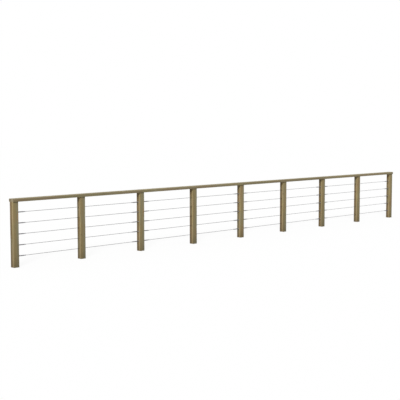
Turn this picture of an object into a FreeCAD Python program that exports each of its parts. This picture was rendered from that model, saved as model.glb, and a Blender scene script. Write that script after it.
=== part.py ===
import FreeCAD, Part
import os

import Sketcher

# Deck railing section: square timber posts, a flat timber handrail and five
# rows of taut wire rope, each rope held by a screw fitting at both ends.
# Millimetres, +Z up, +X along the railing. The origin is the centre of the
# middle post's foot.

BAYS_PER_RUN = 2
RUNS = 4
ROWS = 5
POSTS = BAYS_PER_RUN * RUNS + 1
MIDDLE_POST = (POSTS + 1) // 2

SIZES = {
    # Timber
    "bay_spacing": 1200,
    "post_width": 90,
    "post_length": 955,
    "post_arris": 6,
    "rail_width": 120,
    "rail_thickness": 45,
    "rail_top_arris": 8,
    "rail_low_arris": 3,
    "rail_joint_gap": 1,
    # Ropes
    "row_first": 160,
    "top_row_gap": 155,
    "rope_diameter": 6,
    "rope_hole_clearance": 1.5,
    # Stud that screws into the post
    "stud_diameter": 10,
    "stud_tip_gap": 10,
    "stud_point": 8,
    "stud_fit": 0.1,
    "hole_end_clearance": 2,
    "collar_flats": 16,
    "collar_thickness": 7,
    "stud_thread_show": 14,
    # Turnbuckle body
    "barrel_diameter": 15,
    "barrel_length": 76,
    "barrel_chamfer": 1.5,
    "barrel_bore_depth": 24,
    "barrel_cross_hole": 5,
    "thread_fit": 0.1,
    "thread_reach": 21,
    # Terminal pressed onto the rope
    "end_thread_show": 10,
    "shoulder_diameter": 14,
    "shoulder_length": 4,
    "sleeve_diameter": 11.5,
    "sleeve_length": 35,
    "sleeve_taper_length": 6,
    "sleeve_mouth_wall": 1,
    "sleeve_fit": 0.1,
    "rope_grip": 32,
    "rope_end_clearance": 1,
}

doc = FreeCAD.newDocument("deck_railing")
sheet = doc.addObject("Spreadsheet::Sheet", "values")
for row, (alias, number) in enumerate(SIZES.items(), start=1):
    sheet.set("A%d" % row, alias)
    sheet.set("B%d" % row, str(number))
    sheet.setAlias("B%d" % row, alias)
doc.recompute()


class Size:
    """A length as it is now, with the expression that keeps it up to date."""

    def __init__(self, number, text):
        self.number = number
        self.text = text

    def joined(self, other, sign, number):
        return Size(number, "(%s %s %s)" % (self.text, sign, as_size(other).text))

    def __add__(self, other):
        return self.joined(other, "+", self.number + as_size(other).number)

    def __sub__(self, other):
        return self.joined(other, "-", self.number - as_size(other).number)

    def __mul__(self, other):
        return self.joined(other, "*", self.number * as_size(other).number)

    def __truediv__(self, other):
        return self.joined(other, "/", self.number / as_size(other).number)


def as_size(thing):
    return thing if isinstance(thing, Size) else Size(thing, repr(thing))


def size(alias):
    return Size(float(getattr(sheet, alias)), "values." + alias)


def bind(thing, prop, length):
    thing.setExpression(prop, length.text)


# The face of the post at the end of a run, from the run's middle post, and
# the places along a fitting, which reaches from that face towards the middle
FACE = size("bay_spacing") * BAYS_PER_RUN / 2 - size("post_width") / 2
BARREL_OUTER = FACE - size("collar_thickness") - size("stud_thread_show")
BARREL_INNER = BARREL_OUTER - size("barrel_length")
SHOULDER = BARREL_INNER - size("end_thread_show")
SLEEVE = SHOULDER - size("shoulder_length")
SLEEVE_MOUTH = SLEEVE - size("sleeve_length")
ROPE_END = SLEEVE_MOUTH + size("rope_grip")

# Two studs that meet in one post leave a gap between their tips
STUD_EMBED = (size("post_width") - size("stud_tip_gap")) / 2

# The rows are even between the lowest rope and the one below the handrail
ROW_STEP = (size("post_length") - size("row_first") - size("top_row_gap")) / (ROWS - 1)


def new_body(name):
    body = doc.addObject("PartDesign::Body", name)
    body.Label = name
    body.AllowCompound = True
    return body


def origin_part(body, role):
    """One of a body's own origin planes or axes."""
    return next(f for f in body.Origin.OriginFeatures if f.Role == role)


def new_sketch(body, name, role):
    sketch = body.newObject("Sketcher::SketchObject", name)
    sketch.AttachmentSupport = [(origin_part(body, role), "")]
    sketch.MapMode = "FlatFace"
    return sketch


def dimension(sketch, name, length, kind, *where):
    """A named distance in a sketch, bound to the sheet."""
    index = sketch.addConstraint(Sketcher.Constraint(kind, *where, length.number))
    sketch.renameConstraint(index, name)
    bind(sketch, "Constraints." + name, length)


def closed_outline(sketch, corners):
    """Straight lines round corners. Each corner is a pair of sizes from the
    sketch's origin, and an up of None lies on the horizontal axis."""
    spots = [FreeCAD.Vector(x.number, y.number if y else 0, 0) for x, y in corners]
    count = len(corners)
    for i in range(count):
        sketch.addGeometry(Part.LineSegment(spots[i], spots[(i + 1) % count]))
    for i in range(count):
        sketch.addConstraint(Sketcher.Constraint("Coincident", i, 2, (i + 1) % count, 1))
    for i, (x, y) in enumerate(corners):
        dimension(sketch, "x%d" % i, x, "DistanceX", -1, 1, i, 1)
        if y:
            dimension(sketch, "y%d" % i, y, "DistanceY", -1, 1, i, 1)
        else:
            sketch.addConstraint(Sketcher.Constraint("PointOnObject", i, 1, -1))


def centred_rectangle(sketch, width, height):
    """A rectangle centred on the sketch's origin."""
    half_w = width.number / 2
    half_h = height.number / 2
    corners = [(-half_w, -half_h), (half_w, -half_h), (half_w, half_h), (-half_w, half_h)]
    spots = [FreeCAD.Vector(x, y, 0) for x, y in corners]
    for i in range(4):
        sketch.addGeometry(Part.LineSegment(spots[i], spots[(i + 1) % 4]))
    for i in range(4):
        sketch.addConstraint(Sketcher.Constraint("Coincident", i, 2, (i + 1) % 4, 1))
    for side, kind in enumerate(("Horizontal", "Vertical", "Horizontal", "Vertical")):
        sketch.addConstraint(Sketcher.Constraint(kind, side))
    sketch.addConstraint(Sketcher.Constraint("Symmetric", 0, 1, 2, 1, -1, 1))
    dimension(sketch, "width", width, "DistanceX", 0, 1, 0, 2)
    dimension(sketch, "height", height, "DistanceY", 1, 1, 1, 2)


def circle(sketch, diameter, up):
    """A circle on the sketch's vertical axis."""
    sketch.addGeometry(Part.Circle(FreeCAD.Vector(0, up.number, 0),
                                   FreeCAD.Vector(0, 0, 1), diameter.number / 2))
    sketch.addConstraint(Sketcher.Constraint("PointOnObject", 0, 3, -2))
    dimension(sketch, "up", up, "DistanceY", -1, 1, 0, 3)
    dimension(sketch, "diameter", diameter, "Diameter", 0)


def hexagon(sketch, flats, up):
    """A hexagon on the sketch's vertical axis, with two flats upright."""
    corner_radius = flats / 3 ** 0.5
    centre = FreeCAD.Vector(0, up.number, 0)
    spots = []
    for i in range(6):
        arm = FreeCAD.Rotation(FreeCAD.Vector(0, 0, 1), 60 * i + 30)
        spots.append(centre + arm.multVec(FreeCAD.Vector(corner_radius.number, 0, 0)))
    for i in range(6):
        sketch.addGeometry(Part.LineSegment(spots[i], spots[(i + 1) % 6]))
    ring = sketch.addGeometry(
        Part.Circle(centre, FreeCAD.Vector(0, 0, 1), corner_radius.number), True)
    for i in range(6):
        sketch.addConstraint(Sketcher.Constraint("Coincident", i, 2, (i + 1) % 6, 1))
        sketch.addConstraint(Sketcher.Constraint("PointOnObject", i, 1, ring))
    for i in range(5):
        sketch.addConstraint(Sketcher.Constraint("Equal", i, i + 1))
    sketch.addConstraint(Sketcher.Constraint("Vertical", 5))
    sketch.addConstraint(Sketcher.Constraint("PointOnObject", ring, 3, -2))
    dimension(sketch, "up", up, "DistanceY", -1, 1, ring, 3)
    dimension(sketch, "corner_radius", corner_radius, "Radius", ring)


def pad(body, sketch, name, length):
    feature = body.newObject("PartDesign::Pad", name)
    feature.Profile = sketch
    bind(feature, "Length", length)
    sketch.Visibility = False
    return feature


def edges_along(shape, axis, test):
    """Names of the straight edges that run along an axis and pass a test."""
    names = []
    for number, edge in enumerate(shape.Edges, start=1):
        along = edge.tangentAt(edge.FirstParameter)
        if abs(abs(along.dot(axis)) - 1) < 1e-6 and test(edge.CenterOfMass):
            names.append("Edge%d" % number)
    return names


def fillet(body, base, name, edges, radius):
    feature = body.newObject("PartDesign::Fillet", name)
    feature.Base = (base, edges)
    bind(feature, "Radius", radius)
    return feature


def up_the_rows(body, name):
    """The pattern that repeats a feature at every row of rope."""
    pattern = body.newObject("PartDesign::LinearPattern", name)
    pattern.Direction = (origin_part(body, "Z_Axis"), [""])
    bind(pattern, "Length", ROW_STEP * (ROWS - 1))
    pattern.Occurrences = ROWS
    return pattern


def repeat(body, originals, mirrored):
    """Repeats features at every row, and on the other side where mirrored."""
    if not mirrored:
        pattern = up_the_rows(body, body.Label + "_rows")
        pattern.Originals = originals
        body.Tip = pattern
        return
    both = body.newObject("PartDesign::MultiTransform", body.Label + "_copies")
    both.Originals = originals
    rows = up_the_rows(body, body.Label + "_rows")
    sides = body.newObject("PartDesign::Mirrored", body.Label + "_sides")
    sides.MirrorPlane = (origin_part(body, "YZ_Plane"), [""])
    both.Transformations = [rows, sides]
    body.Tip = both


def place(thing, posts_from_middle, up=None):
    """Puts a piece a number of posts along the railing from the middle one."""
    bind(thing, "Placement.Base.x", size("bay_spacing") * posts_from_middle)
    if up:
        bind(thing, "Placement.Base.z", up)


def make_post(number):
    """A square post. One at the end of a run has blind holes for the studs,
    on each side that has ropes, and the others have holes right through."""
    body = new_body("post_%d" % number)
    section = new_sketch(body, body.Label + "_section", "XY_Plane")
    centred_rectangle(section, size("post_width"), size("post_width"))
    timber = pad(body, section, body.Label + "_timber", size("post_length"))
    doc.recompute()
    uprights = edges_along(timber.Shape, FreeCAD.Vector(0, 0, 1), lambda middle: True)
    fillet(body, timber, body.Label + "_arrises", uprights, size("post_arris"))

    hole_circle = new_sketch(body, body.Label + "_hole_circle", "YZ_Plane")
    hole = body.newObject("PartDesign::Pocket", body.Label + "_hole")
    hole.Profile = hole_circle
    holds_run = (number - 1) % BAYS_PER_RUN == 0
    if holds_run:
        circle(hole_circle, size("stud_diameter") + size("stud_fit") * 2, size("row_first"))
        left_only = number == POSTS
        face = size("post_width") / (-2 if left_only else 2)
        bind(hole_circle, "AttachmentOffset.Base.z", face)
        bind(hole, "Length", STUD_EMBED + size("hole_end_clearance"))
        hole.Reversed = left_only
    else:
        circle(hole_circle, size("rope_diameter") + size("rope_hole_clearance") * 2,
               size("row_first"))
        hole.Type = "ThroughAll"
        hole.Midplane = True
    repeat(body, [hole], mirrored=holds_run and 1 < number < POSTS)
    place(body, number - MIDDLE_POST)
    return body


def make_handrail(number):
    """A flat handrail length over two bays. The end ones also cover the whole
    of the end post, and the others meet over the middle of a post."""
    body = new_body("handrail_%d" % number)
    section = new_sketch(body, body.Label + "_section", "YZ_Plane")
    centred_rectangle(section, size("rail_width"), size("rail_thickness"))
    run = size("bay_spacing") * BAYS_PER_RUN
    over_end_post = size("post_width") / 2
    half_gap = size("rail_joint_gap") / 2
    left_extra = over_end_post if number == 1 else half_gap * -1
    right_extra = over_end_post if number == RUNS else half_gap * -1
    timber = pad(body, section, body.Label + "_timber", run + left_extra + right_extra)
    doc.recompute()
    lengthways = FreeCAD.Vector(1, 0, 0)
    upper = edges_along(timber.Shape, lengthways, lambda middle: middle.z > 0)
    rounded = fillet(body, timber, body.Label + "_upper_arrises", upper,
                     size("rail_top_arris"))
    doc.recompute()
    lower_edge = -size("rail_thickness").number / 2
    lower = edges_along(rounded.Shape, lengthways,
                        lambda middle: abs(middle.z - lower_edge) < 1e-6)
    fillet(body, rounded, body.Label + "_lower_arrises", lower, size("rail_low_arris"))
    first_post = (number - 1) * BAYS_PER_RUN + 1
    start = size("bay_spacing") * (first_post - MIDDLE_POST) - left_extra
    bind(body, "Placement.Base.x", start)
    bind(body, "Placement.Base.z", size("post_length") + size("rail_thickness") / 2)
    return body


def revolved(body, name, corners):
    """A turned piece on the line of the lowest rope."""
    outline = new_sketch(body, name + "_outline", "XZ_Plane")
    closed_outline(outline, corners)
    bind(outline, "AttachmentOffset.Base.y", size("row_first"))
    feature = body.newObject("PartDesign::Revolution", name)
    feature.Profile = outline
    feature.ReferenceAxis = (outline, ["H_Axis"])
    feature.Angle = 360
    return feature


def make_post_studs(name):
    """Studs that screw into the posts at both ends of a run, each with a
    hexagonal collar that seats on the post's face."""
    body = new_body(name)
    radius = size("stud_diameter") / 2
    tip = FACE + STUD_EMBED
    shank = revolved(body, name + "_shank", [
        (tip, None),
        (tip - size("stud_point"), radius),
        (BARREL_OUTER - size("thread_reach"), radius),
        (BARREL_OUTER - size("thread_reach"), None),
    ])
    doc.recompute()
    flats = new_sketch(body, name + "_flats", "YZ_Plane")
    hexagon(flats, size("collar_flats"), size("row_first"))
    bind(flats, "AttachmentOffset.Base.z", FACE - size("collar_thickness"))
    collar = pad(body, flats, name + "_collar", size("collar_thickness"))
    repeat(body, [shank, collar], mirrored=True)
    return body


def make_turnbuckle_bodies(name):
    """Closed round bodies, bored from both ends, with a cross hole in the
    solid middle for a turning bar."""
    body = new_body(name)
    radius = size("barrel_diameter") / 2
    chamfer = size("barrel_chamfer")
    bore = size("stud_diameter") / 2 + size("thread_fit")
    outer_bore_end = BARREL_OUTER - size("barrel_bore_depth")
    inner_bore_end = BARREL_INNER + size("barrel_bore_depth")
    barrel = revolved(body, name + "_barrel", [
        (BARREL_OUTER, bore),
        (BARREL_OUTER, radius - chamfer),
        (BARREL_OUTER - chamfer, radius),
        (BARREL_INNER + chamfer, radius),
        (BARREL_INNER, radius - chamfer),
        (BARREL_INNER, bore),
        (inner_bore_end, bore),
        (inner_bore_end, None),
        (outer_bore_end, None),
        (outer_bore_end, bore),
    ])
    doc.recompute()
    spot = new_sketch(body, name + "_cross_circle", "XZ_Plane")
    circle(spot, size("barrel_cross_hole"), size("row_first"))
    bind(spot, "AttachmentOffset.Base.x", (BARREL_OUTER + BARREL_INNER) / 2)
    cross = body.newObject("PartDesign::Pocket", name + "_cross_hole")
    cross.Profile = spot
    cross.Type = "ThroughAll"
    cross.Midplane = True
    repeat(body, [barrel, cross], mirrored=True)
    return body


def make_rope_terminals(name):
    """Threaded terminals, each with a shoulder and a tapered sleeve that is
    pressed onto the end of the rope."""
    body = new_body(name)
    thread = size("stud_diameter") / 2
    shoulder = size("shoulder_diameter") / 2
    sleeve = size("sleeve_diameter") / 2
    bore = size("rope_diameter") / 2 + size("sleeve_fit")
    mouth = bore + size("sleeve_mouth_wall")
    thread_end = BARREL_INNER + size("thread_reach")
    bore_end = ROPE_END + size("rope_end_clearance")
    terminal = revolved(body, name + "_terminal", [
        (thread_end, None),
        (thread_end, thread),
        (SHOULDER, thread),
        (SHOULDER, shoulder),
        (SLEEVE, shoulder),
        (SLEEVE, sleeve),
        (SLEEVE_MOUTH + size("sleeve_taper_length"), sleeve),
        (SLEEVE_MOUTH, mouth),
        (SLEEVE_MOUTH, bore),
        (bore_end, bore),
        (bore_end, None),
    ])
    repeat(body, [terminal], mirrored=True)
    return body


def make_rope(run, row):
    """A taut rope between the sleeves at both ends of a run."""
    rope = doc.addObject("Part::Cylinder", "wire_rope_%d_row_%d" % (run, row))
    rope.Label = rope.Name
    bind(rope, "Radius", size("rope_diameter") / 2)
    bind(rope, "Height", ROPE_END * 2)
    rope.Placement.Rotation = FreeCAD.Rotation(FreeCAD.Vector(0, 1, 0), 90)
    middle = size("bay_spacing") * run_middle(run)
    bind(rope, "Placement.Base.x", middle - ROPE_END)
    bind(rope, "Placement.Base.z", size("row_first") + ROW_STEP * (row - 1))
    return rope


def run_middle(run):
    """The middle of a run, in posts from the middle post."""
    return BAYS_PER_RUN * (run - 1) + 1 + BAYS_PER_RUN // 2 - MIDDLE_POST


pieces = [make_post(number) for number in range(1, POSTS + 1)]
pieces += [make_handrail(number) for number in range(1, RUNS + 1)]
for run in range(1, RUNS + 1):
    for maker, name in ((make_post_studs, "post_studs"),
                        (make_turnbuckle_bodies, "turnbuckle_bodies"),
                        (make_rope_terminals, "rope_terminals")):
        fittings = maker("%s_%d" % (name, run))
        place(fittings, run_middle(run))
        pieces.append(fittings)
    pieces += [make_rope(run, row) for row in range(1, ROWS + 1)]
doc.recompute()

for thing in doc.Objects:
    if "Invalid" in thing.State or "Error" in thing.State:
        raise RuntimeError("%s failed: %s" % (thing.Label, thing.State))
for piece in pieces:
    if piece.Shape.isNull() or not piece.Shape.isValid():
        raise RuntimeError("%s has no valid shape" % piece.Label)

os.makedirs("parts", exist_ok=True)
for piece in pieces:
    piece.Shape.exportStep("parts/%s.step" % piece.Label)
    print(piece.Label, len(piece.Shape.Solids), round(piece.Shape.Volume, 1))
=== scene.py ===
import math
import random

import bmesh
import bpy
import numpy as np
from mathutils import Matrix, Vector, noise


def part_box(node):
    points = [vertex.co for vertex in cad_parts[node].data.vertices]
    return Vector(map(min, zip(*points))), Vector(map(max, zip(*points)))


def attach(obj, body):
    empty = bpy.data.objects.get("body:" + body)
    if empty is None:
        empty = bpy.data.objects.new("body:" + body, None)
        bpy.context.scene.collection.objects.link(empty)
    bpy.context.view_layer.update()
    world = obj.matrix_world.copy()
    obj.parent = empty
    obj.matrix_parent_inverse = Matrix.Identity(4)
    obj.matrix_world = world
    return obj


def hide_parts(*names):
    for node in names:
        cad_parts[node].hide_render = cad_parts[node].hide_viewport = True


# The deck railing: timber posts under a flat handrail, with wire ropes
# between them. It runs along X, with post 1 at the low end, and the
# photograph was taken from the side of -Y.
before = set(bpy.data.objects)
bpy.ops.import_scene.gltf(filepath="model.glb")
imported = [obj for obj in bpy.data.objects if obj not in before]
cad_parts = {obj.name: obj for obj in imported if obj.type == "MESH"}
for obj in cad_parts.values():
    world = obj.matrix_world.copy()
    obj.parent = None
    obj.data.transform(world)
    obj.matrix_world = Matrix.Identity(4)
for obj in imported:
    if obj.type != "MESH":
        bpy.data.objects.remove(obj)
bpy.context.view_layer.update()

# The frame is in metres
MM = 0.001

# How many of each piece the railing has
POSTS = 9
RUNS = 4
ROWS = 5

# Camera, at the photograph's viewing angle
CAMERA_PLACE = (-11.894, -10.998, 2.096)
CAMERA_YAW = 44.633
CAMERA_PITCH = 4.994
CAMERA_ROLL = -0.057
CAMERA_LENS = 80.41

# Light: a white sky, a soft sun, and the floor's tone as it lights the object
SKY_LIGHT = 0.64
SUN_LIGHT = 2.2
SUN_AZIMUTH = -50
SUN_ELEVATION = 35
SUN_SOFTNESS = 16
FLOOR_TONE = 0.5

# Floor as the camera sees it: a share of plain white, and a pale tone that takes the shadow
FLOOR_REACH = 60.0
FLOOR_WHITE = 0.88
FLOOR_SEEN_TONE = 0.95

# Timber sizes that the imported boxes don't tell
POST_ARRIS = 6 * MM
RAIL_TOP_ARRIS = 8 * MM
RAIL_LOW_ARRIS = 3 * MM
END_CHAMFER = 0.8 * MM
ROPE_HOLE = 9 * MM
ROPE_HOLE_BEVEL = 0.4 * MM
ROPE_HOLE_BEVEL_DEPTH = 0.5 * MM
STUD_HOLE = 10.2 * MM
STUD_HOLE_DEPTH = 42 * MM

# Handrail screws, two over each post that a length bears on
SCREW_ACROSS = 27 * MM
SCREW_FROM_JOINT = 25 * MM
SCREW_RECESS = 1.8 * MM
RECESS_TOP_ROOM = 0.5 * MM
RECESS_FLOOR_ROOM = 0.2 * MM
HEAD_RADIUS = 4.6 * MM
HEAD_SIDE = 0.9 * MM
HEAD_BEVEL = 0.3 * MM
HEAD_BEVEL_RISE = 0.2 * MM
HEAD_HEIGHT = 1.15 * MM
SOCKET_RADIUS = 2.2 * MM
SOCKET_FLOOR = 0.2 * MM
SOCKET_FLOOR_RADIUS = 1.9 * MM
SOCKET_LOBES = 6
SOCKET_LOBE_DEPTH = 0.12

# Grid of the timber meshes, with a patch of cells round each hole
ACROSS_STEP = 7 * MM
ALONG_STEP = 13 * MM
CORNER_STEPS = 4
HOLE_POINTS = 16
HOLE_CELL = 6.5 * MM
PATCH_LINES = range(-2, 3)
PATCH_CELLS = range(-2, 2)

# Sides of a length of timber are numbered round its section. On the handrail
# these two are its top and its underside.
TOP_SIDE = 1
UNDERSIDE = 3

# Wear of the timber: its depth, and its waves a metre across the grain and
# along it. Dents lie along the edges, where their noise is over the level.
WEAR_DEPTH = 0.18 * MM
WEAR_WAVES = (55, 3.5)
DENT_DEPTH = 2.2 * MM
DENT_WAVES = (20, 11)
DENT_LEVEL = 0.12
DENT_SEED = 7.3

# Wear leaves a hole alone to the first distance, and grows over the
# second, both in cells of the grid
CALM_CELLS = 2.9
CALM_FADE = 2.0

# Drying checks: the chance of one on a side, and the range of each size
# and of its place across the side
CHECK_CHANCE = 0.6
CHECK_LENGTH = (160 * MM, 420 * MM)
CHECK_WIDTH = (0.7 * MM, 1.3 * MM)
CHECK_DEPTH = (1.2 * MM, 2.6 * MM)
CHECK_END_ROOM = 20 * MM
CHECK_WAVES = (900, 40)
POST_CHECK_ACROSS = (19 * MM, 32 * MM)
RAIL_CHECK_ACROSS = (44 * MM, 46 * MM)
CHECK_SEED = 100
RAIL_SEED = 20

# Where a piece was cut from its tree: the pith's place from the middle of
# the section, and how far it differs, and the longest way along the tree
PITH = (30 * MM, 36 * MM)
PITH_SPREAD = 6 * MM
TREE_LENGTH = 40.0

# Fitting sizes along the rope, from the face of the post
STUD_EMBED = 40 * MM
STUD_POINT = 8 * MM
STUD_TIP = 0.3 * MM
COLLAR = 7 * MM
COLLAR_FLATS = 16 * MM
STUD_SHOW = 14 * MM
BARREL_START = COLLAR + STUD_SHOW
BARREL_LENGTH = 76 * MM
BARREL_END = BARREL_START + BARREL_LENGTH
BARREL_RADIUS = 7.5 * MM
BARREL_CHAMFER = 1.5 * MM
BARREL_BORE = 24 * MM
CROSS_HOLE = 5 * MM
NUT = 6 * MM
END_SHOW = 10 * MM
SHOULDER_START = BARREL_END + END_SHOW
SHOULDER_LENGTH = 4 * MM
SHOULDER_END = SHOULDER_START + SHOULDER_LENGTH
SHOULDER_RADIUS = 7 * MM
SHOULDER_FLATS = 12 * MM
SHOULDER_CHAMFER = 0.6 * MM
SLEEVE_LENGTH = 35 * MM
SLEEVE_END = SHOULDER_END + SLEEVE_LENGTH
SLEEVE_RADIUS = 5.75 * MM
SLEEVE_TAPER = 6 * MM
SLEEVE_EASE = 0.25 * MM
SLEEVE_EASE_LENGTH = 1.8 * MM
SLEEVE_MOUTH = 4.1 * MM
SLEEVE_LIP = 0.4 * MM
SLEEVE_BORE = 33 * MM
ROPE_BORE = 3.1 * MM

# How far one stretch of a turned piece runs on inside the next one
OVERLAP = 0.5 * MM

# Hexagons have their corners turned off: the flat end's share of the width
# over flats, and the rise of the turned slope
HEXAGON_END = 0.97
HEXAGON_SLOPE = 0.62

# Screw threads, with a few rows of points to each turn
THREAD_RADIUS = 5 * MM
THREAD_PITCH = 1.5 * MM
THREAD_DEPTH = 0.85 * MM
THREAD_FIT = 0.1 * MM
THREAD_HIDDEN = 3 * MM
THREAD_ROWS = 4
THREAD_COLUMNS = 16

# Rope of six strands twisted round a core, each with its own twisted wires
STRANDS = 6
STRAND_POINTS = 4
LAY_LENGTH = 44 * MM
ROPE_STEP = 4.4 * MM
WIRES = 6
WIRE_TWIST = 1900.0

# Colours of the timber, linear: the late ones are the dark part of a ring
POST_TONE = (0.243, 0.189, 0.088)
POST_BROWN = (0.182, 0.127, 0.058)
POST_RED = (0.228, 0.156, 0.077)
POST_PALE = (0.425, 0.329, 0.180)
POST_OLIVE = (0.426, 0.344, 0.166)
POST_GREEN = (0.208, 0.188, 0.111)
POST_LATE = (0.170, 0.118, 0.046)
RAIL_BROWN = (0.212, 0.160, 0.093)
RAIL_GREEN = (0.213, 0.189, 0.096)
RAIL_GREY = (0.210, 0.182, 0.123)
RAIL_TOP_PAINTED_LIGHT = (0.322, 0.276, 0.160)
RAIL_LATE = (0.137, 0.100, 0.043)
SAWN_END = (0.240, 0.196, 0.120)
SAWN_PALE = (0.440, 0.365, 0.235)

# Colours of the metal: turned bodies, a lighter copy for the studs, nuts and screws with painted
# light that offsets their shade against the wood, and the rope's wires
BODY_STEEL = (0.205, 0.203, 0.212)
STUD_STEEL_PAINTED_LIGHT = (0.300, 0.298, 0.302)
ROPE_STEEL = (0.185, 0.184, 0.190)

# Patterns in the timber: waves a metre, twice across the grain and once along it
RING_SWAY_WAVES = (9, 9, 1.3)
FIBRE_WAVES = (900, 900, 14)
STREAK_WAVES = (170, 170, 2.2)
BLOTCH_WAVES = (16, 16, 2.5)
CRAZE_WAVES = (260, 260, 3.0)
DRIFT_WAVES = (14, 14, 3.5)
WEATHER_WAVES = (30, 30, 2.5)

# Yearly rings: their widths, and how far they sway along the tree and round
# the knots
POST_RING = 6 * MM
RAIL_RING = 5 * MM
RING_SWAY = 30 * MM
KNOT_SWAY = 8 * MM

# Knots: cells to a radian round the pith and to a metre along the tree. A
# cell has a knot where its random number is over the level.
KNOT_CELLS = (0.55, 3.1)
KNOT_LEVEL = 0.74
KNOT_DRIFT = 0.03

# Tones round a post: where each one's edge lies from the middle of the
# section, or from the middle of the streak, and how far the edges drift
BROWN_EDGE = (-16 * MM, 0.0)
GREEN_EDGE = (-16 * MM, 22 * MM)
TONE_FADE = 30 * MM
STREAK_ACROSS = 23 * MM
STREAK_EDGE = (14.5 * MM, 7 * MM)
TONE_DRIFT = 34 * MM

# A post grows darker towards its foot: the height where that starts, and the tone at the foot
FOOT_DARKENING_HEIGHT = 180 * MM
FOOT_DARKENING_TONE = 0.76

# The pale streak over a sawn end
END_STREAK_ACROSS = 22 * MM
END_STREAK_EDGE = (20 * MM, 8 * MM)

POST_LOW, POST_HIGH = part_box("post_1")
POST_HALF = (POST_HIGH.x - POST_LOW.x) / 2
ROPE_LOW, ROPE_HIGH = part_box("wire_rope_1_row_1")
ROPE_RADIUS = (ROPE_HIGH.z - ROPE_LOW.z) / 2
ROW_HEIGHTS = [sum(corner.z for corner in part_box(f"wire_rope_1_row_{row}")) / 2
               for row in range(1, ROWS + 1)]


def post_middle(number):
    """Place of a post along the railing."""
    low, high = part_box(f"post_{number}")
    return (low.x + high.x) / 2


class Graph:
    """A short way to write a material's nodes. An input is a number, a
    colour, or another node's output."""

    def __init__(self, owner):
        owner.use_nodes = True
        self.tree = owner.node_tree
        self.tree.nodes.clear()

    def node(self, kind, inputs=(), output=0, **settings):
        """Adds a node and gives one of its outputs, or the node itself."""
        made = self.tree.nodes.new(kind)
        for name, value in settings.items():
            setattr(made, name, value)
        pairs = inputs.items() if isinstance(inputs, dict) else enumerate(inputs)
        for key, value in pairs:
            self.feed(made.inputs[key], value)
        return made if output is None else made.outputs[output]

    def feed(self, socket, value):
        if isinstance(value, bpy.types.NodeSocket):
            self.tree.links.new(value, socket)
            return
        if socket.type == "RGBA" and len(value) == 3:
            value = (*value, 1.0)
        socket.default_value = value

    def math(self, operation, *inputs):
        return self.node("ShaderNodeMath", inputs, operation=operation)

    def length(self, first, second):
        """Length of the diagonal over two lengths."""
        squares = [self.math("MULTIPLY", side, side) for side in (first, second)]
        return self.math("SQRT", self.math("ADD", *squares))

    def parts(self, vector):
        """The three numbers of a vector."""
        return list(self.node("ShaderNodeSeparateXYZ", (vector,), output=None).outputs)

    def scaled(self, vector, factors):
        return self.node("ShaderNodeVectorMath", (vector, factors), operation="MULTIPLY")

    def noise(self, vector, scale=1.0, detail=3.0, roughness=0.5):
        return self.node("ShaderNodeTexNoise", {
            "Vector": vector, "Scale": scale, "Detail": detail,
            "Roughness": roughness}, output="Fac")

    def sway(self, pattern, reach):
        """A noise pattern turned into a length that goes both ways from 0."""
        return self.math("MULTIPLY", self.math("SUBTRACT", pattern, 0.5), reach)

    def spread(self, value, low, high, to_low=0.0, to_high=1.0, smooth=True):
        """Maps low..high to to_low..to_high."""
        return self.node("ShaderNodeMapRange", (value, low, high, to_low, to_high),
                         interpolation_type="SMOOTHSTEP" if smooth else "LINEAR")

    def grey(self, value):
        return self.node("ShaderNodeCombineColor", (value, value, value))

    def mix(self, factor, first, second, blend="MIX"):
        made = self.node("ShaderNodeMix", output=None, data_type="RGBA", blend_type=blend)
        colours = [socket for socket in made.inputs if socket.type == "RGBA"]
        self.feed(made.inputs[0], factor)
        self.feed(colours[0], first)
        self.feed(colours[1], second)
        return next(socket for socket in made.outputs if socket.type == "RGBA")

    def shaded(self, colour, shade):
        """A colour times a number."""
        return self.mix(1.0, colour, self.grey(shade), "MULTIPLY")


def new_material(name):
    """A material with a Principled shader, with its graph and the shader."""
    material = bpy.data.materials.new(name)
    graph = Graph(material)
    shader = graph.node("ShaderNodeBsdfPrincipled", output=None)
    graph.node("ShaderNodeOutputMaterial", (shader.outputs[0],), output=None)
    return material, graph, shader


def add_bump(graph, shader, height, strength, distance):
    bump = graph.node("ShaderNodeBump", {
        "Strength": strength, "Distance": distance, "Height": height})
    graph.feed(shader.inputs["Normal"], bump)


def times(colour, factor):
    return tuple(factor * part for part in colour)


def knot_field(graph, grain):
    """Knots are branches that ran out from the pith, so they are spots in
    the angle round the pith and the place along the grain. Gives the bent
    grain round them, the knots themselves and their edges, each 0 to 1."""
    across_a, across_b, lengthways = graph.parts(grain)
    angle = graph.math("ARCTAN2", across_b, across_a)
    spot = graph.node("ShaderNodeCombineXYZ", (
        graph.math("MULTIPLY", angle, KNOT_CELLS[0]),
        graph.math("MULTIPLY", lengthways, KNOT_CELLS[1])))
    wander = graph.noise(spot, scale=9.0, detail=1)
    cells = graph.node("ShaderNodeTexVoronoi", {"Vector": spot, "Scale": 1.0, "Randomness": 0.9},
                       output=None, voronoi_dimensions="2D")
    chosen = graph.node("ShaderNodeSeparateColor", (cells.outputs["Color"],))
    present = graph.math("GREATER_THAN", chosen, KNOT_LEVEL)
    distance = graph.math("ADD", cells.outputs["Distance"], graph.sway(wander, KNOT_DRIFT))
    around = graph.math("MULTIPLY", present, graph.spread(distance, 0.03, 0.17, 1.0, 0.0))
    core = graph.math("MULTIPLY", present, graph.spread(distance, 0.026, 0.036, 1.0, 0.0))
    edge = graph.math("MULTIPLY", core, graph.spread(distance, 0.018, 0.03))
    return around, core, edge


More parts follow.
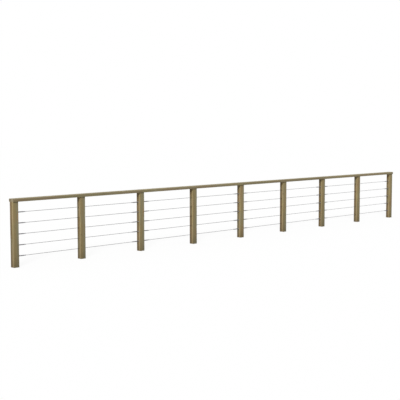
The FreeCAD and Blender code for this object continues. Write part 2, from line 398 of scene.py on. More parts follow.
def ring_field(graph, grain, knots, ring_width):
    """The late wood of the yearly rings, 0 to 1: it darkens slowly to the
    end of each ring, then stops. Rings sway along the tree and round knots."""
    across_a, across_b, _ = graph.parts(grain)
    slow = graph.noise(graph.scaled(grain, RING_SWAY_WAVES), detail=2)
    radius = graph.math("ADD", graph.length(across_a, across_b), graph.sway(slow, RING_SWAY))
    radius = graph.math("ADD", radius, graph.math("MULTIPLY", knots, KNOT_SWAY))
    turn = graph.math("FRACT", graph.math("DIVIDE", radius, ring_width))
    return graph.math("MULTIPLY", graph.spread(turn, 0.35, 0.9),
                      graph.spread(turn, 0.93, 1.0, 1.0, 0.0))


def post_tones(graph, section, blotches):
    """Tones round a post: brown at the back of the face towards -X, a pale
    streak near its front corner, greener at the right of the front, and
    blotches of green and red. It is paler to the top, and darker at the foot."""
    across_a, across_b, height = graph.parts(section)
    wander = graph.noise(graph.scaled(section, DRIFT_WAVES), detail=2)
    drift = graph.sway(wander, TONE_DRIFT)
    side_a = graph.math("ADD", across_a, drift)
    side_b = graph.math("ADD", across_b, drift)

    brown = graph.math("MULTIPLY", graph.spread(side_b, *BROWN_EDGE),
                       graph.spread(across_a, -POST_HALF, TONE_FADE, 1.0, 0.25))
    green = graph.math("MULTIPLY", graph.spread(side_a, *GREEN_EDGE),
                       graph.spread(across_b, -TONE_FADE, TONE_FADE, 1.0, 0.35))
    far = graph.length(graph.math("ADD", across_a, POST_HALF),
                       graph.math("ADD", side_b, STREAK_ACROSS))
    pale = graph.spread(far, *STREAK_EDGE)
    streak = graph.mix(graph.spread(wander, 0.45, 0.60), POST_PALE, POST_OLIVE)

    colour = graph.mix(brown, POST_TONE, POST_BROWN)
    colour = graph.mix(green, colour, POST_GREEN)
    colour = graph.mix(graph.spread(blotches, 0.50, 0.68, 0.0, 0.9), colour, POST_GREEN)
    colour = graph.mix(graph.spread(blotches, 0.48, 0.34, 0.0, 0.9), colour, POST_RED)
    colour = graph.shaded(colour, graph.spread(height, 0.0, 0.85, 0.90, 1.10))
    colour = graph.mix(pale, colour, streak)
    # Darker towards the foot
    return graph.shaded(colour, graph.spread(height, 0.0, FOOT_DARKENING_HEIGHT, FOOT_DARKENING_TONE, 1.0))


def rail_tones(graph, section, blotches):
    """Tones round the handrail: brown and green blotches under grey streaks
    along it, and painted light on the top, which is lighter where it faces up."""
    normal = graph.node("ShaderNodeNewGeometry", output="Normal")
    up = graph.parts(normal)[2]
    streaks = graph.noise(graph.scaled(section, WEATHER_WAVES), detail=3)
    colour = graph.mix(graph.spread(blotches, 0.35, 0.65), RAIL_BROWN, RAIL_GREEN)
    colour = graph.mix(graph.spread(streaks, 0.4, 0.75, 0.0, 0.7), colour, RAIL_GREY)
    # Painted light: the top and its rounded edges are lighter as they face up
    return graph.mix(graph.spread(up, 0.15, 0.75), colour, RAIL_TOP_PAINTED_LIGHT)


def sawn_ends(graph, section, grain_axis, colour):
    """Sawn ends are weathered paler than the sides, most of all in a streak."""
    normal = graph.node("ShaderNodeNewGeometry", output="Normal")
    end_on = graph.math("ABSOLUTE", graph.parts(normal)["XYZ".index(grain_axis)])
    ends = graph.math("MULTIPLY", graph.spread(end_on, 0.8, 0.95), 0.75)
    beside = graph.math("ADD", graph.parts(section)[0], END_STREAK_ACROSS)
    pale = graph.spread(graph.math("ABSOLUTE", beside), *END_STREAK_EDGE)
    return graph.mix(ends, colour, graph.mix(pale, SAWN_END, SAWN_PALE))


def timber_material(name, tones, late, ring_width, grain_axis):
    """Treated pine. Each piece has an attribute with its place from the
    tree's pith, in metres, the grain along the third number, one with its
    place from the middle of the section, and one with a number of its own
    from 0 to 1."""
    material, graph, shader = new_material(name)
    grain = graph.node("ShaderNodeAttribute", attribute_name="grain", output="Vector")
    section = graph.node("ShaderNodeAttribute", attribute_name="section", output="Vector")
    own = graph.node("ShaderNodeAttribute", attribute_name="own", output="Fac")

    knots, knot_core, knot_edge = knot_field(graph, grain)
    late_wood = ring_field(graph, grain, knots, ring_width)
    fibres = graph.noise(graph.scaled(grain, FIBRE_WAVES), detail=2, roughness=0.7)
    streaks = graph.noise(graph.scaled(grain, STREAK_WAVES), detail=3, roughness=0.6)
    blotches = graph.noise(graph.scaled(grain, BLOTCH_WAVES), detail=3, roughness=0.55)
    crazed = graph.noise(graph.scaled(grain, CRAZE_WAVES), detail=4, roughness=0.75)
    cracks = graph.spread(crazed, 0.655, 0.70)

    colour = tones(graph, section, blotches)
    colour = graph.mix(graph.math("MULTIPLY", late_wood, 0.5), colour, late)
    shade = graph.math("ADD", graph.spread(streaks, 0.25, 0.75, 0.80, 1.16),
                       graph.spread(fibres, 0.25, 0.75, -0.07, 0.07))
    shade = graph.math("MULTIPLY", shade, graph.spread(own, 0, 1, 0.95, 1.05, smooth=False))
    colour = graph.shaded(colour, shade)
    for mark, strength, darkness in ((knot_core, 0.5, 0.65), (knot_edge, 0.45, 0.4),
                                     (cracks, 0.6, 0.45)):
        colour = graph.mix(graph.math("MULTIPLY", mark, strength), colour, times(late, darkness))
    colour = sawn_ends(graph, section, grain_axis, colour)
    graph.feed(shader.inputs["Base Color"], colour)

    graph.feed(shader.inputs["Roughness"], graph.spread(streaks, 0.2, 0.8, 0.66, 0.86))
    shader.inputs["Specular IOR Level"].default_value = 0.28
    height = graph.math("ADD", graph.math("MULTIPLY", late_wood, 0.45),
                        graph.math("MULTIPLY", fibres, 0.75))
    height = graph.math("SUBTRACT", height, graph.math("MULTIPLY", cracks, 1.6))
    add_bump(graph, shader, height, strength=0.55, distance=0.5 * MM)
    return material


def steel_material(name, colour, metallic, rough_low, rough_high, line_waves):
    """Dull stainless steel, with fine lines from turning and some staining."""
    material, graph, shader = new_material(name)
    place = graph.node("ShaderNodeTexCoord", output="Object")
    lines = graph.noise(graph.scaled(place, line_waves), detail=2, roughness=0.6)
    stains = graph.noise(place, scale=60.0, detail=3, roughness=0.6)
    tone = graph.mix(graph.spread(stains, 0.45, 0.75, 0.0, 0.45), colour, times(colour, 0.62))
    graph.feed(shader.inputs["Base Color"], tone)
    graph.feed(shader.inputs["Roughness"],
               graph.spread(stains, 0.3, 0.7, rough_low, rough_high))
    shader.inputs["Metallic"].default_value = metallic
    add_bump(graph, shader, lines, strength=0.25, distance=0.1 * MM)
    return material


def rope_material(name, colour):
    """Stranded rope. The mesh has the strands, and the wires in each strand
    are fine ridges that slant across it, with painted shade in the grooves."""
    material, graph, shader = new_material(name)
    lay = graph.node("ShaderNodeUVMap", uv_map="lay", output="UV")
    length_on, around, _ = graph.parts(lay)
    slant = graph.math("MULTIPLY", length_on, WIRE_TWIST)
    ridge = graph.math("SINE", graph.math(
        "ADD", graph.math("MULTIPLY", around, WIRES * math.tau), slant))
    place = graph.node("ShaderNodeTexCoord", output="Object")
    stains = graph.noise(place, scale=25.0, detail=3)
    tone = graph.mix(graph.spread(stains, 0.4, 0.7, 0.0, 0.5), colour, times(colour, 0.65))
    # Painted shade: the grooves between the wires are darker
    tone = graph.shaded(tone, graph.spread(ridge, -1.0, 0.0, 0.35, 1.0))
    graph.feed(shader.inputs["Base Color"], tone)
    graph.feed(shader.inputs["Roughness"], graph.spread(stains, 0.3, 0.7, 0.34, 0.52))
    shader.inputs["Metallic"].default_value = 0.8
    add_bump(graph, shader, ridge, strength=0.5, distance=0.2 * MM)
    return material


class Shape:
    """Collects points and faces for one mesh."""

    def __init__(self):
        self.points = []
        self.faces = []

    def add(self, points, faces):
        start = len(self.points)
        self.points.extend(map(tuple, points))
        self.faces.extend([tuple(start + i for i in face) for face in faces])

    def object(self, name, material=None, sharp=35.0, weld=False):
        mesh = bpy.data.meshes.new(name)
        mesh.from_pydata(self.points, [], self.faces)
        if weld:
            weld_points(mesh)
        mesh.shade_smooth()
        mesh.set_sharp_from_angle(angle=math.radians(sharp))
        if material:
            mesh.materials.append(material)
        made = bpy.data.objects.new(name, mesh)
        bpy.context.scene.collection.objects.link(made)
        return made


def weld_points(mesh):
    """Joins points that meet, and drops points that no face uses."""
    work = bmesh.new()
    work.from_mesh(mesh)
    bmesh.ops.delete(work, geom=[v for v in work.verts if not v.link_faces], context="VERTS")
    bmesh.ops.remove_doubles(work, verts=work.verts, dist=1e-6)
    work.to_mesh(mesh)
    work.free()


def finish_piece(piece, slot, *nodes):
    """Every piece rides on the one body, and most stand for CAD nodes."""
    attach(piece, "root")
    if nodes:
        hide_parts(*nodes)


def end_faces(rows, columns):
    """Faces over the first and the last row of a tube."""
    last = (rows - 1) * columns
    return [tuple(range(columns - 1, -1, -1)), tuple(range(last, last + columns))]


def tube_faces(rows, columns, closed=(True, True)):
    """Faces of a tube of rows, each with that many points round it, and
    over those of its two ends that are closed."""
    faces = [(j * columns + i, j * columns + (i + 1) % columns,
              (j + 1) * columns + (i + 1) % columns, (j + 1) * columns + i)
             for j in range(rows - 1) for i in range(columns)]
    return faces + [end for end, shut in zip(end_faces(rows, columns), closed) if shut]


def stations(start, end, step, fixed):
    """Places from start to end: the fixed ones, and others between them so
    that none are further apart than the step."""
    marks = sorted({round(mark, 7) for mark in (start, end, *fixed)})
    places = [marks[0]]
    for low, high in zip(marks, marks[1:]):
        count = max(1, math.ceil((high - low) / step - 1e-6))
        places += [low + (high - low) * (i + 1) / count for i in range(count)]
    return places


def timber_section(half_a, half_b, radii, marks):
    """Outline of a rounded section, anticlockwise from side 0, which faces
    +a. Each point is (place, outward direction, side, place on the side)."""
    outline = []
    for side in range(4):
        turn = side * math.pi / 2
        out = Vector((round(math.cos(turn)), round(math.sin(turn))))
        on = Vector((-out.y, out.x))
        depth = abs(out.x) * half_a + abs(out.y) * half_b
        reach = abs(on.x) * half_a + abs(on.y) * half_b
        before, after = radii[side - 1], radii[side]
        for u in stations(before - reach, reach - after, ACROSS_STEP, marks[side]):
            outline.append((depth * out + u * on, out, side, u))
        centre = (depth - after) * out + (reach - after) * on
        for k in range(1, CORNER_STEPS):
            angle = turn + math.pi / 2 * k / CORNER_STEPS
            toward = Vector((math.cos(angle), math.sin(angle)))
            outline.append((centre + after * toward, toward, None, 0.0))
    return outline


def side_marks(side, holes, grooves):
    """Columns that a side needs: a regular patch round each hole, and the
    edges and the middle of each drying check."""
    patches = [hole["across"] + k * HOLE_CELL
               for hole in holes if hole["side"] == side for k in PATCH_LINES]
    checks = [groove["across"] + k * groove["width"] / 2
              for groove in grooves if groove["side"] == side for k in (-1, 0, 1)]
    return patches + checks


def ring_of_patch():
    """Steps from a hole's middle to the 16 grid points round its patch."""
    right = [(2, 0), (2, 1), (2, 2)]
    top = [(1, 2), (0, 2), (-1, 2)]
    left = [(-2, 2), (-2, 1), (-2, 0), (-2, -1), (-2, -2)]
    low = [(-1, -2), (0, -2), (1, -2)]
    return right + top + left + low + [(2, -2), (2, -1)]


def wear_depth(place, along, seed, corner):
    """How far weather has worn the surface down, never out."""
    across, lengthways = WEAR_WAVES
    ripple = noise.noise(Vector((place.x * across + seed, place.y * across, along * lengthways)))
    depth = WEAR_DEPTH * (1 + ripple)
    if corner:
        across, lengthways = DENT_WAVES
        dents = noise.noise(Vector((seed + DENT_SEED, place.x * across, along * lengthways)))
        depth += max(0.0, dents - DENT_LEVEL) * DENT_DEPTH
    return depth


def near_hole(hole, side, u, along):
    """0 on a hole's patch, 1 well away from it."""
    if side != hole["side"]:
        return 1.0
    far = math.hypot(u - hole["across"], along - hole["along"]) / HOLE_CELL
    return min(max((far - CALM_CELLS) / CALM_FADE, 0.0), 1.0)


def groove_depth(groove, side, u, along):
    """Depth of a drying check at the column that runs down its middle."""
    if side != groove["side"] or abs(u - groove["across"]) > 1e-6:
        return 0.0
    share = (along - groove["start"]) / (groove["end"] - groove["start"])
    if not 0 < share < 1:
        return 0.0
    across, lengthways = CHECK_WAVES
    rough = 0.8 + 0.4 * noise.noise(Vector((u * across, along * lengthways, 3.0)))
    return groove["depth"] * math.sqrt(math.sin(math.pi * share)) * rough


def make_timber(name, material, slot, node, place_of, sizes, ends, holes, grooves, seed,
                plain_sides=()):
    """A length of timber with rounded edges, holes and drying checks.
    place_of turns (a, b, along) into the railing's frame."""
    half_a, half_b, radii = sizes
    start, end = ends
    outline = timber_section(half_a, half_b, radii,
                             [side_marks(side, holes, grooves) for side in range(4)])
    rows = stations(start, end, ALONG_STEP, [start + END_CHAMFER, end - END_CHAMFER] + [
        hole["along"] + k * HOLE_CELL for hole in holes for k in PATCH_LINES])
    points = []
    for along in rows:
        for place, out, side, u in outline:
            depth = 0.0 if side in plain_sides else wear_depth(place, along, seed, side is None)
            for hole in holes:
                depth *= near_hole(hole, side, u, along)
            for groove in grooves:
                depth += groove_depth(groove, side, u, along)
            if along in (rows[0], rows[-1]):
                depth += END_CHAMFER
            spot = place - depth * out
            points.append((spot.x, spot.y, along))
    faces, extra = hole_faces(outline, rows, holes, len(points))
    shape = Shape()
    shape.add([place_of(*point) for point in points + extra],
              faces + end_faces(len(rows), len(outline)))
    made = shape.object(name, material, weld=True)
    add_grain(made, place_of, seed)
    finish_piece(made, slot, node)


def hole_faces(outline, rows, holes, start):
    """Faces of the timber's sides, with a ring of faces round each hole and
    the hole's own wall. Returns the faces and the points that they add."""
    columns = len(outline)
    column_of = {(side, round(u, 6)): i for i, (_, _, side, u) in enumerate(outline)}
    row_of = {round(along, 6): j for j, along in enumerate(rows)}
    skipped = set()
    faces = []
    extra = []
    for hole in holes:
        column = column_of[(hole["side"], round(hole["across"], 6))]
        row = row_of[round(hole["along"], 6)]
        skipped |= {(row + j, column + i) for i in PATCH_CELLS for j in PATCH_CELLS}
        ring = [(row + j) * columns + column + i for i, j in ring_of_patch()]
        place, out, _, _ = outline[column]
        on = Vector((-out.y, out.x))
        for radius, depth in hole["profile"]:
            first = start + len(extra)
            for k in range(HOLE_POINTS):
                angle = math.tau * k / HOLE_POINTS
                spot = place - depth * out + radius * math.cos(angle) * on
                extra.append((spot.x, spot.y, hole["along"] + radius * math.sin(angle)))
            following = [first + k for k in range(HOLE_POINTS)]
            for k in range(HOLE_POINTS):
                after = (k + 1) % HOLE_POINTS
                faces.append((ring[k], ring[after], following[after], following[k]))
            ring = following
        if not hole["through"]:
            faces.append(tuple(ring))
    for j in range(len(rows) - 1):
        for i in range(columns):
            if (j, i) not in skipped:
                after = (i + 1) % columns
                faces.append((j * columns + i, j * columns + after,
                              (j + 1) * columns + after, (j + 1) * columns + i))
    return faces, extra


def add_grain(piece, place_of, seed):
    """Gives the mesh its place in the tree, for the timber's material."""
    draw = random.Random(seed)
    origin = Vector(place_of(0.0, 0.0, 0.0))
    axes = [Vector(place_of(*step)) - origin
            for step in ((1.0, 0.0, 0.0), (0.0, 1.0, 0.0), (0.0, 0.0, 1.0))]
    pith = [middle + draw.uniform(-PITH_SPREAD, PITH_SPREAD) for middle in PITH]
    offset = draw.uniform(0.0, TREE_LENGTH)
    mesh = piece.data
    points = np.empty(len(mesh.vertices) * 3, dtype=np.float32)
    mesh.vertices.foreach_get("co", points)
    points = points.reshape(-1, 3) - np.array(origin)
    place = np.stack([points @ np.array(axis) for axis in axes], axis=1)
    section = mesh.attributes.new("section", "FLOAT_VECTOR", "POINT")
    section.data.foreach_set("vector", place.astype(np.float32).ravel())
    grain = mesh.attributes.new("grain", "FLOAT_VECTOR", "POINT")
    place += np.array((-pith[0], -pith[1], offset))
    grain.data.foreach_set("vector", place.astype(np.float32).ravel())
    own = mesh.attributes.new("own", "FLOAT", "POINT")
    own.data.foreach_set("value", np.full(len(points), draw.random(), dtype=np.float32))


def post_holes(number):
    """Holes in a post's two faces along the railing: blind ones for studs in
    the odd posts, and ones right through for the ropes in the even posts."""
    carries_studs = number % 2 == 1
    if carries_studs:
        profile = [(STUD_HOLE / 2, 0.0), (STUD_HOLE / 2, STUD_HOLE_DEPTH)]
    else:
        profile = [(ROPE_HOLE / 2 + ROPE_HOLE_BEVEL, 0.0),
                   (ROPE_HOLE / 2, ROPE_HOLE_BEVEL_DEPTH), (ROPE_HOLE / 2, POST_HALF)]
    outer_side = {1: 2, POSTS: 0}.get(number)
    return [{"side": side, "across": 0.0, "along": height, "profile": profile,
             "through": not carries_studs}
            for side in (0, 2) if side != outer_side for height in ROW_HEIGHTS]


def drying_checks(seed, sides, span, across_range):
    """A few long thin cracks, kept off the holes."""
    draw = random.Random(CHECK_SEED + seed)
    checks = []
    for side in sides:
        if draw.random() < CHECK_CHANCE:
            length = draw.uniform(*CHECK_LENGTH)
            start = draw.uniform(span[0] + CHECK_END_ROOM, span[1] - length - CHECK_END_ROOM)
            across = draw.choice((-1, 1)) * draw.uniform(*across_range)
            checks.append({"side": side, "across": round(across, 5), "start": start,
                           "end": start + length, "width": draw.uniform(*CHECK_WIDTH),
                           "depth": draw.uniform(*CHECK_DEPTH)})
    return checks


def make_post(number, material):
    low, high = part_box(f"post_{number}")
    middle = post_middle(number)
    span = (low.z, high.z)
    make_timber(
        f"timber_post_{number}", material, "post_timber", f"post_{number}",
        lambda a, b, along: (middle + a, b, along),
        (POST_HALF, (high.y - low.y) / 2, [POST_ARRIS] * 4), span, post_holes(number),
        drying_checks(number, range(4), span, POST_CHECK_ACROSS), number)


def screw_places(number):
    """Places along one handrail length of its screws."""
    low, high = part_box(f"handrail_{number}")
    return [low.x + SCREW_FROM_JOINT, post_middle(2 * number), high.x - SCREW_FROM_JOINT]


def make_handrail(number, material):
    low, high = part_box(f"handrail_{number}")
    middle = (low.z + high.z) / 2
    span = (low.x, high.x)
    recess = [(HEAD_RADIUS + RECESS_TOP_ROOM, 0.0),
              (HEAD_RADIUS + RECESS_FLOOR_ROOM, SCREW_RECESS)]
    holes = [{"side": TOP_SIDE, "across": across, "along": along, "profile": recess,
              "through": False}
             for along in screw_places(number) for across in (-SCREW_ACROSS, SCREW_ACROSS)]
    radii = [RAIL_TOP_ARRIS, RAIL_TOP_ARRIS, RAIL_LOW_ARRIS, RAIL_LOW_ARRIS]
    seed = RAIL_SEED + number
    make_timber(
        f"timber_handrail_{number}", material, "rail_timber", f"handrail_{number}",
        lambda a, b, along: (along, a, middle + b),
        ((high.y - low.y) / 2, (high.z - low.z) / 2, radii), span, holes,
        drying_checks(seed, (TOP_SIDE,), span, RAIL_CHECK_ACROSS), seed,
        plain_sides=(UNDERSIDE,))


def add_tube(shape, centre, direction, places, reach_at, columns, closed=(True, True)):
    """A round piece on a line along X. reach_at(row, angle) is the distance
    from the line to the surface, at one of the places and an angle there."""
    points = []
    for row, place in enumerate(places):
        for i in range(columns):
            angle = math.tau * i / columns
            reach = reach_at(row, angle)
            points.append((centre[0] + direction * place,
                           centre[1] + direction * reach * math.sin(angle),
                           centre[2] + reach * math.cos(angle)))
    faces = tube_faces(len(places), columns, closed)
    shape.add(points, [face[::-1] for face in faces])


def round_cut(angle, radius):
    """Outline of a plain turned piece."""
    return radius


def add_turned(shape, centre, direction, profile, columns=24, outline=round_cut,
               closed=(True, True)):
    """A turned piece. The profile is a list of (place along the line,
    radius). outline(angle, radius) may cut flats on it."""
    places, radii = zip(*profile)
    add_tube(shape, centre, direction, places,
             lambda row, angle: outline(angle, radii[row]), columns, closed)


def socket_cut(angle, radius):
    """Outline of a six-lobed socket."""
    return radius * (1 - SOCKET_LOBE_DEPTH + SOCKET_LOBE_DEPTH * math.cos(SOCKET_LOBES * angle))


def hexagon_cut(angle, radius):
    """Outline of a turned piece cut to a hexagon."""
    from_flat = (angle + math.pi / 6) % (math.pi / 3) - math.pi / 6
    return min(radius, COLLAR_FLATS / 2 / math.cos(from_flat))


def two_flats_cut(angle, radius):
    """Outline of a turned piece with two flats for a spanner."""
    across = abs(math.cos(angle))
    return min(radius, SHOULDER_FLATS / 2 / across) if across > 0.3 else radius


def add_thread(shape, centre, direction, start, end):
    """A screw thread between two places on the line."""
    count = max(2, round((end - start) / THREAD_PITCH * THREAD_ROWS) + 1)
    places = [start + (end - start) * j / (count - 1) for j in range(count)]

    def reach_at(row, angle):
        turn = (places[row] / THREAD_PITCH + angle / math.tau) % 1.0
        return THREAD_RADIUS - THREAD_DEPTH * (1 - abs(2 * turn - 1))

    add_tube(shape, centre, direction, places, reach_at, THREAD_COLUMNS)


def screw_head():
    """A countersunk screw's head and socket, on the origin along +X."""
    shape = Shape()
    add_turned(shape, (0, 0, 0), 1, [
        (0.0, HEAD_RADIUS), (HEAD_SIDE, HEAD_RADIUS),
        (HEAD_SIDE + HEAD_BEVEL_RISE, HEAD_RADIUS - HEAD_BEVEL),
        (HEAD_HEIGHT, SOCKET_RADIUS)], closed=(True, False))
    add_turned(shape, (0, 0, 0), 1, [
        (HEAD_HEIGHT, SOCKET_RADIUS), (SOCKET_FLOOR, SOCKET_FLOOR_RADIUS)],
        outline=socket_cut, closed=(False, True))
    return shape


def make_screws(material):
    """The screws in the top of the handrail."""
    head = screw_head()
    shape = Shape()
    for number in range(1, RUNS + 1):
        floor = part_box(f"handrail_{number}")[1].z - SCREW_RECESS
        for along in screw_places(number):
            for across in (-SCREW_ACROSS, SCREW_ACROSS):
                shape.add([(along - z, across + y, floor + x) for x, y, z in head.points],
                          head.faces)
    finish_piece(shape.object("handrail_screws", material, weld=True), "fittings")


def run_ends(run):
    """Each rope end of a run: (point on the post's face, way into the bay)."""
    first = post_middle(2 * run - 1) + POST_HALF
    last = post_middle(2 * run + 1) - POST_HALF
    return [((x, 0.0, height), direction)
            for x, direction in ((first, 1), (last, -1)) for height in ROW_HEIGHTS]


def add_hexagon(shape, centre, direction, start, length, both_ends):
    """A hexagon whose corners are turned off, at one end or at both."""
    corner = COLLAR_FLATS / math.sqrt(3)
    low = COLLAR_FLATS / 2 * HEXAGON_END
    depth = (corner - low) * HEXAGON_SLOPE
    near = [(start, low), (start + depth, corner)] if both_ends else [(start, corner)]
    far = [(start + length - depth, corner), (start + length, low)]
    add_turned(shape, centre, direction, near + far, columns=48, outline=hexagon_cut)


def make_studs(run, material):
    """Studs that are screwed into the post, each with a hexagon collar."""
    shape = Shape()
    for centre, direction in run_ends(run):
        add_turned(shape, centre, direction, [
            (-STUD_EMBED, STUD_TIP), (STUD_POINT - STUD_EMBED, THREAD_RADIUS),
            (OVERLAP, THREAD_RADIUS)], columns=12)
        add_hexagon(shape, centre, direction, 0.0, COLLAR, False)
        add_thread(shape, centre, direction, COLLAR - OVERLAP, BARREL_START + THREAD_HIDDEN)
    made = shape.object(f"threaded_studs_{run}", material)
    finish_piece(made, "fittings", f"post_studs_{run}")


def make_nuts(run, material):
    """A lock nut against each end of each turnbuckle body."""
    shape = Shape()
    for centre, direction in run_ends(run):
        for start in (BARREL_START - NUT, BARREL_END):
            add_hexagon(shape, centre, direction, start, NUT, True)
    finish_piece(shape.object(f"lock_nuts_{run}", material), "fittings")


def barrel_mesh():
    """One turnbuckle body with its bores and cross hole, at the origin."""
    bore = THREAD_RADIUS + THREAD_FIT
    edge = BARREL_RADIUS - BARREL_CHAMFER
    shape = Shape()
    add_turned(shape, (0, 0, 0), 1, [
        (BARREL_BORE, bore), (0.0, bore), (0.0, edge), (BARREL_CHAMFER, BARREL_RADIUS),
        (BARREL_LENGTH - BARREL_CHAMFER, BARREL_RADIUS), (BARREL_LENGTH, edge),
        (BARREL_LENGTH, bore), (BARREL_LENGTH - BARREL_BORE, bore)], columns=40)
    whole = shape.object("barrel_blank")
    drill_shape = Shape()
    add_turned(drill_shape, (0, 0, 0), 1, [
        (-2 * BARREL_RADIUS, CROSS_HOLE / 2), (2 * BARREL_RADIUS, CROSS_HOLE / 2)])
    drill = drill_shape.object("drill")
    drill.data.transform(Matrix.Translation((BARREL_LENGTH / 2, 0, 0))
                         @ Matrix.Rotation(math.pi / 2, 4, "Z"))
    cut = whole.modifiers.new("cross_hole", "BOOLEAN")
    cut.operation = "DIFFERENCE"
    cut.object = drill
    bpy.context.view_layer.update()
    evaluated = whole.evaluated_get(bpy.context.evaluated_depsgraph_get())
    mesh = bpy.data.meshes.new_from_object(evaluated)
    points = np.array([vertex.co for vertex in mesh.vertices])
    faces = [tuple(polygon.vertices) for polygon in mesh.polygons]
    bpy.data.objects.remove(whole)
    bpy.data.objects.remove(drill)
    return points, faces


def make_barrels(run, material, barrel):
    """Turnbuckle bodies, which are the same seen from either end."""
    points, faces = barrel
    shape = Shape()
    for centre, direction in run_ends(run):
        start = centre[0] + (BARREL_START if direction > 0 else -BARREL_END)
        shape.add(points + np.array((start, 0.0, centre[2])), faces)
    made = shape.object(f"turned_bodies_{run}", material, sharp=25.0)
    finish_piece(made, "fittings", f"turnbuckle_bodies_{run}")


def make_terminals(run, material):
    """Rope terminals: a thread, a shoulder with two flats and a bored sleeve."""
    shape = Shape()
    for centre, direction in run_ends(run):
        add_thread(shape, centre, direction, BARREL_END - THREAD_HIDDEN,
                   SHOULDER_START + OVERLAP)
        add_turned(shape, centre, direction, [
            (SHOULDER_START, SHOULDER_RADIUS - SHOULDER_CHAMFER),
            (SHOULDER_START + SHOULDER_CHAMFER, SHOULDER_RADIUS),
            (SHOULDER_END - SHOULDER_CHAMFER, SHOULDER_RADIUS),
            (SHOULDER_END, SHOULDER_RADIUS - SHOULDER_CHAMFER)],
            columns=40, outline=two_flats_cut)
        taper = SLEEVE_END - SLEEVE_TAPER
        add_turned(shape, centre, direction, [
            (SHOULDER_END - OVERLAP, SLEEVE_RADIUS), (taper, SLEEVE_RADIUS),
            (taper + SLEEVE_EASE_LENGTH, SLEEVE_RADIUS - SLEEVE_EASE),
            (SLEEVE_END - SLEEVE_LIP, SLEEVE_MOUTH), (SLEEVE_END, SLEEVE_MOUTH - SLEEVE_LIP),
            (SLEEVE_END, ROPE_BORE), (SLEEVE_END - SLEEVE_BORE, ROPE_BORE)], columns=28)
    made = shape.object(f"pressed_terminals_{run}", material)
    finish_piece(made, "fittings", f"rope_terminals_{run}")


def strand_reach(angle):
    """Distance from the rope's middle to the outside of a strand, at an
    angle from the strand's crest."""
    strand = ROPE_RADIUS / 3
    middle = 2 * strand
    inside = max(strand ** 2 - (middle * math.sin(angle)) ** 2, 0.0)
    return middle * math.cos(angle) + math.sqrt(inside)


def rope_mesh(length):
    """Points, faces and lay coordinates of a rope along X from the origin."""
    columns = STRANDS * STRAND_POINTS
    rows = round(length / ROPE_STEP) + 1
    places = [length * j / (rows - 1) for j in range(rows)]
    half = STRAND_POINTS / 2
    reaches = [strand_reach(math.tau / columns * ((k + half) % STRAND_POINTS - half))
               for k in range(columns)]
    points = []
    for place in places:
        for k, reach in enumerate(reaches):
            angle = math.tau * (k / columns + place / LAY_LENGTH)
            points.append((place, reach * math.cos(angle), reach * math.sin(angle)))
    lay = []
    for here, there in zip(places, places[1:]):
        for k in range(columns):
            side, next_side = k / STRAND_POINTS, (k + 1) / STRAND_POINTS
            lay += [(here, side), (here, next_side), (there, next_side), (there, side)]
    lay += [(0.0, 0.0)] * (2 * columns)
    return np.array(points), tube_faces(rows, columns), np.array(lay, dtype=np.float32)


def make_rope(run, row, material, rope):
    points, faces, lay = rope
    low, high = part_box(f"wire_rope_{run}_row_{row}")
    shape = Shape()
    shape.add(points + np.array((low.x, 0.0, (low.z + high.z) / 2)), faces)
    made = shape.object(f"strands_{run}_row_{row}", material, sharp=80.0)
    made.data.uv_layers.new(name="lay").data.foreach_set("uv", lay.ravel())
    finish_piece(made, "wire_rope", f"wire_rope_{run}_row_{row}")


def seen_white(graph):
    """1 for a ray that comes from the camera, off metal or through glass,
    and 0 for one that lights the object."""
    path = graph.node("ShaderNodeLightPath", output=None)
    straight = graph.math("MAXIMUM", path.outputs["Is Camera Ray"], path.outputs["Is Glossy Ray"])
    return graph.math("MAXIMUM", straight, path.outputs["Is Transmission Ray"])


def make_world():
    world = bpy.data.worlds.new("studio")
    bpy.context.scene.world = world
    graph = Graph(world)
    strength = graph.spread(seen_white(graph), 0.0, 1.0, SKY_LIGHT, 1.0, smooth=False)
    background = graph.node("ShaderNodeBackground", ((1.0, 1.0, 1.0), strength))
    graph.node("ShaderNodeOutputWorld", (background,), output=None)


def make_floor():
    material = bpy.data.materials.new("floor_white")
    graph = Graph(material)
    seen = seen_white(graph)
    tone = graph.spread(seen, 0.0, 1.0, FLOOR_TONE, FLOOR_SEEN_TONE, smooth=False)
    diffuse = graph.node("ShaderNodeBsdfDiffuse", (graph.grey(tone),))
    glow = graph.node("ShaderNodeEmission", ((1.0, 1.0, 1.0), 1.0))
    share = graph.math("MULTIPLY", seen, FLOOR_WHITE)
    surface = graph.node("ShaderNodeMixShader", (share, diffuse, glow))
    graph.node("ShaderNodeOutputMaterial", (surface,), output=None)
    shape = Shape()
    corners = ((-1, -1), (1, -1), (1, 1), (-1, 1))
    shape.add([(x * FLOOR_REACH, y * FLOOR_REACH, 0) for x, y in corners], [(0, 1, 2, 3)])
    shape.object("floor", material)


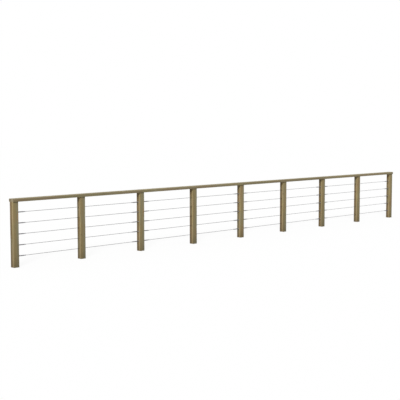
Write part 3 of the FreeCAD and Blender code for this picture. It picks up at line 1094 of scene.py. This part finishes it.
def make_sun():
    """A soft sun. At azimuth 0 it shines along +Y, and at 90 along -X."""
    data = bpy.data.lights.new("key_sun", "SUN")
    data.energy = SUN_LIGHT
    data.angle = math.radians(SUN_SOFTNESS)
    sun = bpy.data.objects.new("key_sun", data)
    turn, rise = math.radians(SUN_AZIMUTH), math.radians(SUN_ELEVATION)
    back = Vector((math.sin(turn) * math.cos(rise), -math.cos(turn) * math.cos(rise),
                   math.sin(rise)))
    sun.rotation_euler = back.to_track_quat("Z", "Y").to_euler()
    bpy.context.scene.collection.objects.link(sun)


def make_camera():
    data = bpy.data.cameras.new("camera")
    data.lens = CAMERA_LENS
    camera = bpy.data.objects.new("camera", data)
    camera.matrix_world = (Matrix.Translation(CAMERA_PLACE)
                           @ Matrix.Rotation(-math.radians(CAMERA_YAW), 4, "Z")
                           @ Matrix.Rotation(math.radians(90 - CAMERA_PITCH), 4, "X")
                           @ Matrix.Rotation(math.radians(CAMERA_ROLL), 4, "Z"))
    bpy.context.scene.collection.objects.link(camera)
    bpy.context.scene.camera = camera


def make_pieces():
    posts = timber_material("post_pine", post_tones, POST_LATE, POST_RING, grain_axis="Z")
    rails = timber_material("rail_pine", rail_tones, RAIL_LATE, RAIL_RING, grain_axis="X")
    steel = steel_material("turned_steel", BODY_STEEL, metallic=0.75, rough_low=0.34,
                           rough_high=0.5, line_waves=(2600, 120, 120))
    # Studs, nuts and screws: a lighter copy of the steel, painted light that offsets the shade
    # and dark reflections they take near the wood
    studs = steel_material("steel_painted_lighter", STUD_STEEL_PAINTED_LIGHT, metallic=0.5, rough_low=0.42,
                           rough_high=0.58, line_waves=(900, 900, 900))
    wires = rope_material("rope_wires", ROPE_STEEL)

    for number in range(1, POSTS + 1):
        make_post(number, posts)
    for number in range(1, RUNS + 1):
        make_handrail(number, rails)
    make_screws(studs)

    barrel = barrel_mesh()
    rope = rope_mesh(ROPE_HIGH.x - ROPE_LOW.x)
    for run in range(1, RUNS + 1):
        make_studs(run, studs)
        make_nuts(run, studs)
        make_barrels(run, steel, barrel)
        make_terminals(run, steel)
        for row in range(1, ROWS + 1):
            make_rope(run, row, wires, rope)


bpy.context.scene.view_settings.view_transform = "Standard"
make_camera()
make_world()
make_floor()
make_sun()
make_pieces()
